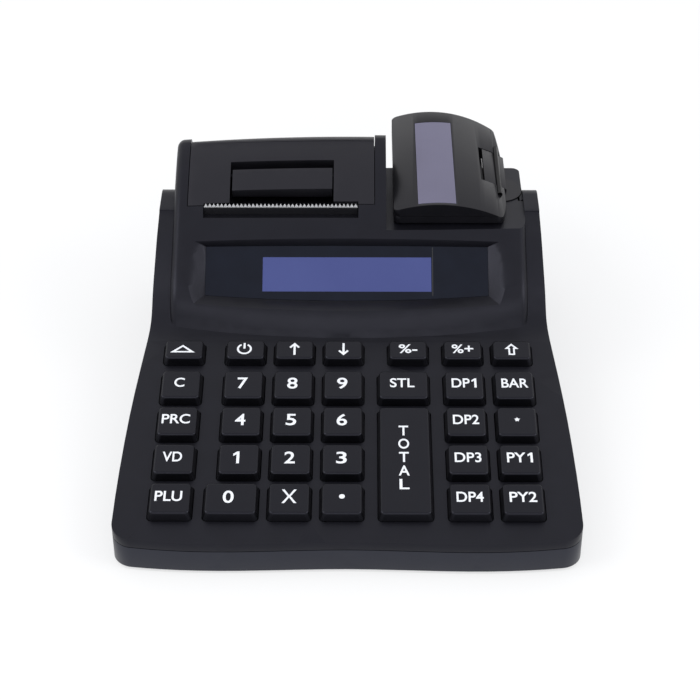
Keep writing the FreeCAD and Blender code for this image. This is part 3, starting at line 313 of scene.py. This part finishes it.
def add_fittings(made):
    made["board"] = moulded("board", tone(20, 78, 44), tone(34, 104, 60), 0.35, size=0.5,
                            strength=0.2, Coat_Weight=0.4)
    made["fitted_board"] = fitted_board()
    made["paper"] = moulded("paper", tone(232, 232, 228), tone(245, 245, 242), 0.7, size=0.12,
                            strength=0.3)
    made["battery"] = moulded("battery", tone(22, 60, 128), tone(34, 76, 150), 0.25, size=0.5,
                              strength=0.05)
    made["ink"] = moulded("ink", tone(232, 234, 238), tone(242, 244, 248), 0.5, size=0.1, strength=0.1)


def make_materials():
    """The materials by name; each slot of the part has the one of its name."""
    made = {}
    add_plastics(made)
    add_rubbers(made)
    add_metals(made)
    add_fittings(made)
    return made


def soften(obj, radius):
    """Rounds the moulded edges of a part that keeps its own mesh."""
    weld = obj.modifiers.new("weld", "WELD")
    weld.merge_threshold = WELD_DISTANCE * MM
    bevel = obj.modifiers.new("edges", "BEVEL")
    bevel.width = radius * MM
    bevel.segments = EDGE_SEGMENTS
    bevel.limit_method = "ANGLE"
    bevel.angle_limit = math.radians(EDGE_ANGLE)
    bevel.use_clamp_overlap = True


def dress_frame(materials):
    """Gives each built node its material, and rounds the moulded ones."""
    slot_of = {item["node"]: item["material_slot"] for item in frame["record"]["subparts"]}
    for name, obj in frame["nodes"].items():
        obj.data.materials.clear()
        obj.data.materials.append(materials[OWN_MATERIALS.get(name, slot_of[name])])
    for name, radius in EDGE_RADII.items():
        soften(frame["nodes"][name], radius)


def deck_matrix():
    """The keyboard deck's own frame: across, along and square to it."""
    turn = Matrix.Rotation(math.radians(DECK_TILT), 4, "X")
    return Matrix.Translation(metres(0, 0, DECK_FRONT_HEIGHT)) @ turn


def face_matrix():
    """The display face's own frame, from the middle of its low edge."""
    turn = Matrix.Rotation(math.radians(FACE_TILT), 4, "X")
    return Matrix.Translation(metres(FACE_CENTRE, FACE_DEPTH, FACE_HEIGHT)) @ turn


def linked(name, data):
    """A new object in the scene."""
    obj = bpy.data.objects.new(name, data)
    bpy.context.scene.collection.objects.link(obj)
    return obj


def baked(name, holder):
    """A mesh object made from a curve or text, and the curve or text removed."""
    graph = bpy.context.evaluated_depsgraph_get()
    mesh = bpy.data.meshes.new_from_object(holder.evaluated_get(graph))
    bpy.data.objects.remove(holder)
    return linked(name, mesh)


def ink_mesh(name, outlines):
    """A flat legend of closed outlines, in millimetres; inner outlines are holes."""
    curve = bpy.data.curves.new(name, "CURVE")
    curve.dimensions = "2D"
    curve.fill_mode = "BOTH"
    curve.extrude = INK_THICKNESS * MM / 2
    for outline in outlines:
        line = curve.splines.new("POLY")
        line.points.add(len(outline) - 1)
        for point, (x, y) in zip(line.points, outline):
            point.co = (x * MM, y * MM, 0, 1)
        line.use_cyclic_u = True
    return baked(name, linked(name + "_curve", curve))


def text_mesh(name, words, height, width):
    """Words in the plain built-in face, fitted to a height and width in millimetres and centred."""
    font = bpy.data.curves.new(name, "FONT")
    font.body = words
    font.size = FONT_SIZE * MM
    font.offset = BOLD * FONT_SIZE * MM
    font.extrude = INK_THICKNESS * MM / 2
    obj = baked(name, linked(name + "_text", font))
    left, low = (min(v.co[i] for v in obj.data.vertices) for i in range(2))
    right, high = (max(v.co[i] for v in obj.data.vertices) for i in range(2))
    scale_x = width * MM / (right - left)
    scale_y = height * MM / (high - low)
    for v in obj.data.vertices:
        v.co.x = (v.co.x - (left + right) / 2) * scale_x
        v.co.y = (v.co.y - (low + high) / 2) * scale_y
    return obj


def ring(radius, start, end, steps=40):
    """Points of an arc between two angles, both ends included."""
    points = []
    for i in range(steps + 1):
        angle = math.radians(start + (end - start) * i / steps)
        points.append((radius * math.cos(angle), radius * math.sin(angle)))
    return points


def triangle_outlines():
    outer = [(-4.8, -2.0), (4.8, -2.0), (0, 2.1)]
    inner = [(-2.7, -1.3), (2.7, -1.3), (0, 1.1)]
    return [outer, inner]


def power_outlines():
    """A ring that is open at the top, with a bar in the opening."""
    opening_left = 118
    opening_right = 62 + 360
    half_bar = 0.4
    outer = ring(2.9, opening_left, opening_right)
    inner = ring(2.15, opening_right, opening_left)
    bar = [(-half_bar, 0.2), (half_bar, 0.2), (half_bar, 3.2), (-half_bar, 3.2)]
    return [outer + inner, bar]


def arrow_outlines(sign):
    """An arrow that points up for 1 and down for -1."""
    stem = 0.42
    points = [(0, 3.4), (2.0, 1.1), (1.45, 0.5), (stem, 1.75), (stem, -3.2),
              (-stem, -3.2), (-stem, 1.75), (-1.45, 0.5), (-2.0, 1.1)]
    return [[(x, y * sign) for x, y in points]]


def shift_outlines():
    """A hollow arrow that points up."""
    outer = [(0, 3.2), (2.7, 0.3), (1.25, 0.3), (1.25, -3.0), (-1.25, -3.0), (-1.25, 0.3), (-2.7, 0.3)]
    inner = [(0, 2.15), (1.2, 0.95), (0.6, 0.95), (0.6, -2.3), (-0.6, -2.3), (-0.6, 0.95), (-1.2, 0.95)]
    return [outer, inner]


def star_outlines():
    tip_radius = 1.15
    notch_radius = 0.62
    tips = 5
    points = []
    for i in range(2 * tips):
        radius = tip_radius if i % 2 == 0 else notch_radius
        angle = math.radians(90 + 180 / tips * i)
        points.append((radius * math.cos(angle), radius * math.sin(angle)))
    return [points]


def cross_outlines():
    """The multiplication sign, as two crossed strokes."""
    side = 2.7
    top = 3.2
    crotch = 0.5
    end = side - 2 * crotch
    return [[(-side, top), (-end, top), (0, crotch), (end, top), (side, top), (crotch, 0),
             (side, -top), (end, -top), (0, -crotch), (-end, -top), (-side, -top), (-crotch, 0)]]


def dot_outlines():
    steps = 40
    return [ring(1.05, 0, 360 - 360 / steps, steps - 1)]


def one_outlines(height):
    """The digit 1 with its flag, since the built-in face draws it as a bar."""
    top = height / 2
    stem = height * 0.18
    flag = height * 0.3
    flag_top = top - height * 0.2
    flag_foot = top - height * 0.38
    flag_root = top - height * 0.24
    return [[(stem / 2, -top), (stem / 2, top), (-stem * 0.3, top), (-flag, flag_top), (-flag, flag_foot),
             (-stem / 2, flag_root), (-stem / 2, -top)]]


def put_on_key(obj, key, x, along, materials):
    """Prints a legend on a key's top, at a place across and along the deck."""
    place = Vector((x * MM, along * MM, (KEY_HEIGHT + INK_HEIGHT) * MM))
    obj.matrix_world = deck_matrix() @ Matrix.Translation(place)
    obj.data.materials.append(materials["ink"])
    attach(obj, "key_" + key + "_body")


def add_words(materials):
    """Each legend of letters: its key, words, place across and along, and width."""
    words = [("clear", "C", CODE_COLUMN + CODE_SHIFT, ROWS[3], 3.9),
             ("price", "PRC", CODE_COLUMN + CODE_SHIFT, ROWS[2], 10.6),
             ("void", "VD", CODE_COLUMN + CODE_SHIFT, ROWS[1], 7.2),
             ("plu", "PLU", CODE_COLUMN + CODE_SHIFT, ROWS[0], 9.9),
             ("subtotal", "STL", TOTAL_COLUMN + WIDE_SHIFT, ROWS[3], 9.3),
             ("department_4", "DP4", DEPARTMENT_COLUMN + DEPARTMENT_SHIFT, ROWS[0], 9.8),
             ("department_3", "DP3", DEPARTMENT_COLUMN + DEPARTMENT_SHIFT, ROWS[1], 9.8),
             ("department_2", "DP2", DEPARTMENT_COLUMN + DEPARTMENT_SHIFT, ROWS[2], 9.8),
             ("barcode", "BAR", PAY_COLUMN + BAR_SHIFT, ROWS[3], 10.2),
             ("pay_2", "PY2", PAY_COLUMN, ROWS[0], 9.9)]
    for key, text, x, along, width in words:
        obj = text_mesh("legend_" + key, text, LETTER_HEIGHT, width)
        put_on_key(obj, key, x, along + LETTER_RISE, materials)


def add_words_with_one(materials):
    """The two legends that end in the digit 1, which has its own outline."""
    for key, text, x, row in (("department_1", "DP", DEPARTMENT_COLUMN, ROWS[3]),
                              ("pay_1", "PY", PAY_COLUMN, ROWS[1])):
        along = row + LETTER_RISE
        letters = text_mesh("legend_" + key, text, LETTER_HEIGHT, PAIR_WIDTH)
        put_on_key(letters, key, x + PAIR_SHIFT, along, materials)
        one = ink_mesh("legend_one_" + key, one_outlines(LETTER_HEIGHT))
        put_on_key(one, key, x + ONE_SHIFT, along, materials)


def add_digits(materials):
    """0 on its wide key, and 1 to 9 in three rows from the front."""
    places = [(ZERO_COLUMN + WIDE_SHIFT, ROWS[0])]
    places += [(x, row) for row in ROWS[1:] for x in DIGIT_COLUMNS]
    for number, (x, along) in enumerate(places):
        digit = str(number)
        if number == 1:
            obj = ink_mesh("legend_1", one_outlines(DIGIT_HEIGHT))
        else:
            obj = text_mesh("legend_" + digit, digit, DIGIT_HEIGHT, DIGIT_WIDTH)
        put_on_key(obj, digit, x + DIGIT_SHIFT, along + DIGIT_RISE, materials)


def add_total(materials):
    """The upright word on the tall key, one letter above the other."""
    word = "TOTAL"
    middle = len(word) // 2
    for i, letter in enumerate(word):
        width = ROUND_LETTER_WIDTH if letter in "OA" else STRAIGHT_LETTER_WIDTH
        obj = text_mesh("legend_total_%d" % i, letter, TOTAL_HEIGHT, width)
        along = ROWS[1] + TOTAL_RISE + TOTAL_SPACING * (middle - i)
        put_on_key(obj, "total", TOTAL_COLUMN + TOTAL_SHIFT, along, materials)


def add_signs(materials):
    """The percent keys, and each drawn sign: its key, outlines and place across and along."""
    percent_along = FUNCTION_ROW + PERCENT_RISE
    minus = text_mesh("legend_minus", "%-", LETTER_HEIGHT, 7.2)
    put_on_key(minus, "percent_minus", PERCENT_COLUMN, percent_along, materials)
    plus = text_mesh("legend_plus", "%+", LETTER_HEIGHT, 8.4)
    put_on_key(plus, "percent_plus", DEPARTMENT_COLUMN, percent_along, materials)
    shapes = [("feed", triangle_outlines(), CODE_COLUMN + CODE_SHIFT, FUNCTION_ROW),
              ("power", power_outlines(), DIGIT_COLUMNS[0] + POWER_SHIFT, FUNCTION_ROW),
              ("up", arrow_outlines(1), DIGIT_COLUMNS[1], FUNCTION_ROW),
              ("down", arrow_outlines(-1), DIGIT_COLUMNS[2], FUNCTION_ROW),
              ("shift", shift_outlines(), PAY_COLUMN, FUNCTION_ROW),
              ("star", star_outlines(), PAY_COLUMN, ROWS[2] + LETTER_RISE),
              ("multiply", cross_outlines(), DIGIT_COLUMNS[1], ROWS[0] + LETTER_RISE),
              ("point", dot_outlines(), DIGIT_COLUMNS[2], ROWS[0] + LETTER_RISE)]
    for key, outlines, x, along in shapes:
        put_on_key(ink_mesh("legend_" + key, outlines), key, x, along, materials)


def grid_panel(name, across, along, point, thickness):
    """A thin panel whose top follows point(share across, share along), with closed sides."""
    vertices = []
    faces = []
    for drop in (0, thickness * MM):
        for j in range(along + 1):
            for i in range(across + 1):
                x, y, z = point(i / across, j / along)
                vertices.append((x, y, z - drop))
    row = across + 1
    count = row * (along + 1)
    for j in range(along):
        for i in range(across):
            a = j * row + i
            faces.append((a, a + 1, a + row + 1, a + row))
            faces.append((a + count + row, a + count + row + 1, a + count + 1, a + count))
    rim = list(range(across))
    rim += [j * row + across for j in range(along)]
    rim += [along * row + across - i for i in range(across)]
    rim += [(along - j) * row for j in range(along)]
    for a, b in zip(rim, rim[1:] + rim[:1]):
        faces.append((b, a, a + count, b + count))
    mesh = bpy.data.meshes.new(name)
    mesh.from_pydata(vertices, [], faces)
    mesh.update()
    return linked(name, mesh)


def face_panel(name, across, along, edges, lift, thickness):
    """A panel on the display face, lifted from the floor of its pocket."""
    left, right, low, high = edges

    def point(a, b):
        x = left - FACE_CENTRE + (right - left) * a
        y = low + (high - low) * b
        return (x * MM, y * MM, (lift - LENS_DROP) * MM)

    obj = grid_panel(name, across, along, point, thickness)
    obj.matrix_world = face_matrix()
    return obj


def lcd_material():
    material, shader = plain_material("operator_lcd_face", tone(72, 80, 130), 0.3, Specular_IOR_Level=0.1)
    add_two_tones(material, shader, tone(69, 76, 126), tone(74, 82, 132), spread=26.0, contrast=0.8)
    return material


def pod_window_material():
    material, shader = plain_material("customer_window_face", tone(102, 99, 122), 0.25,
                                      Specular_IOR_Level=0.3)
    add_two_tones(material, shader, tone(98, 95, 118), tone(106, 103, 127), spread=30.0, contrast=0.8)
    return material


def add_operator_lcd():
    obj = face_panel("operator_lcd_face", 8, 4, LCD_EDGES, LCD_LIFT, PANEL_THICKNESS)
    obj.data.materials.append(lcd_material())
    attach(obj, "case")


def add_lens_seam(materials):
    """The dark line across the smoked window, right of the display."""
    seam = face_panel("lens_seam", 1, 1, SEAM_EDGES, SEAM_LIFT, SEAM_THICKNESS)
    seam.data.materials.append(materials["platen_rubber"])
    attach(seam, "case")


def add_customer_window():
    """The panel in the customer display's window, which follows the crown of its top."""
    left, right, front, rear = POD_WINDOW
    inset = POD_WINDOW_INSET

    def point(a, b):
        x = left + inset + (right - left - 2 * inset) * a
        d = front + inset + (rear - front - 2 * inset) * b
        z = POD_TOP - POD_CROWN_RADIUS + math.sqrt(POD_CROWN_RADIUS ** 2 - (x - POD_CENTRE) ** 2)
        return metres(x, d, z + POD_WINDOW_LIFT)

    obj = grid_panel("customer_window_face", 12, 8, point, PANEL_THICKNESS)
    obj.data.materials.append(pod_window_material())
    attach(obj, "customer_display")


def add_notch_shade(materials):
    """The inner wall of the customer display that closes the gap beside its hinge knuckle."""
    left, right, front, rear = NOTCH_GAP

    def point(a, b):
        return metres(left + (right - left) * a, front + (rear - front) * b, NOTCH_GAP_HEIGHT)

    obj = grid_panel("notch_shade", 1, 1, point, NOTCH_SHADE_THICKNESS)
    obj.data.materials.append(materials["pod_plastic"])
    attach(obj, "customer_display")


def seen_by_eye(nodes, links):
    """1 for camera, glossy and transmission rays."""
    path = nodes.new("ShaderNodeLightPath")
    either = nodes.new("ShaderNodeMath")
    either.operation = "MAXIMUM"
    any_of = nodes.new("ShaderNodeMath")
    any_of.operation = "MAXIMUM"
    links.new(path.outputs["Is Camera Ray"], either.inputs[0])
    links.new(path.outputs["Is Glossy Ray"], either.inputs[1])
    links.new(either.outputs[0], any_of.inputs[0])
    links.new(path.outputs["Is Transmission Ray"], any_of.inputs[1])
    return any_of.outputs[0]


def floor_material():
    """Lit like any surface; a share of what the camera, gloss and glass see of it is plain white."""
    material, shader = plain_material("floor_white", FLOOR_COLOUR, FLOOR_ROUGHNESS, Specular_IOR_Level=0.0)
    nodes = material.node_tree.nodes
    links = material.node_tree.links
    white = nodes.new("ShaderNodeEmission")
    white.inputs["Strength"].default_value = 1.0
    part = nodes.new("ShaderNodeMath")
    part.operation = "MULTIPLY"
    part.inputs[1].default_value = FLOOR_WHITE_SHARE
    mix = nodes.new("ShaderNodeMixShader")
    links.new(seen_by_eye(nodes, links), part.inputs[0])
    links.new(part.outputs[0], mix.inputs["Fac"])
    links.new(shader.outputs[0], mix.inputs[1])
    links.new(white.outputs[0], mix.inputs[2])
    links.new(mix.outputs[0], nodes["Material Output"].inputs["Surface"])
    return material


def add_floor():
    reach = FLOOR_REACH
    mesh = bpy.data.meshes.new("floor")
    corners = [(-reach, -reach, 0), (reach, -reach, 0), (reach, reach, 0), (-reach, reach, 0)]
    mesh.from_pydata(corners, [], [(0, 1, 2, 3)])
    floor = linked("floor", mesh)
    floor.data.materials.append(floor_material())


def add_lamp(name, place, target, size, power):
    light = bpy.data.lights.new(name, "AREA")
    light.shape = "RECTANGLE"
    light.size = size[0]
    light.size_y = size[1]
    light.energy = power
    lamp = linked(name, light)
    lamp.location = place
    lamp.rotation_euler = (Vector(target) - Vector(place)).to_track_quat("-Z", "Y").to_euler()


def background(nodes, colour, strength):
    shader = nodes.new("ShaderNodeBackground")
    shader.inputs["Color"].default_value = colour
    shader.inputs["Strength"].default_value = strength
    return shader


def add_world():
    """White to the eye, and a softer light on the object."""
    world = bpy.data.worlds.new("studio")
    bpy.context.scene.world = world
    world.use_nodes = True
    nodes = world.node_tree.nodes
    links = world.node_tree.links
    nodes.clear()
    out = nodes.new("ShaderNodeOutputWorld")
    seen = background(nodes, WHITE, 1.0)
    lit = background(nodes, WORLD_COLOUR, WORLD_STRENGTH)
    mix = nodes.new("ShaderNodeMixShader")
    links.new(seen_by_eye(nodes, links), mix.inputs["Fac"])
    links.new(lit.outputs[0], mix.inputs[1])
    links.new(seen.outputs[0], mix.inputs[2])
    links.new(mix.outputs[0], out.inputs["Surface"])


def add_camera():
    down = math.radians(CAMERA_DOWN)
    yaw = math.radians(CAMERA_YAW)
    roll = math.radians(CAMERA_ROLL)
    ahead = Vector((math.sin(yaw) * math.cos(down), math.cos(yaw) * math.cos(down), -math.sin(down)))
    level = Vector((math.cos(yaw), -math.sin(yaw), 0))
    upright = level.cross(ahead)
    right = math.cos(roll) * level + math.sin(roll) * upright
    up = math.cos(roll) * upright - math.sin(roll) * level
    camera = bpy.data.cameras.new("camera")
    camera.lens = CAMERA_LENS
    camera.sensor_width = SENSOR_WIDTH
    camera.clip_start = CAMERA_NEAR * MM
    obj = linked("camera", camera)
    turn = Matrix((right, up, -ahead)).transposed().to_4x4()
    obj.matrix_world = Matrix.Translation(metres(*CAMERA_PLACE)) @ turn
    bpy.context.scene.camera = obj


materials = make_materials()
dress_frame(materials)
add_words(materials)
add_words_with_one(materials)
add_digits(materials)
add_total(materials)
add_signs(materials)
add_operator_lcd()
add_lens_seam(materials)
add_customer_window()
add_notch_shade(materials)
add_floor()
add_world()
for lamp in LAMPS:
    add_lamp(*lamp)
add_camera()
bpy.context.scene.view_settings.view_transform = "Standard"
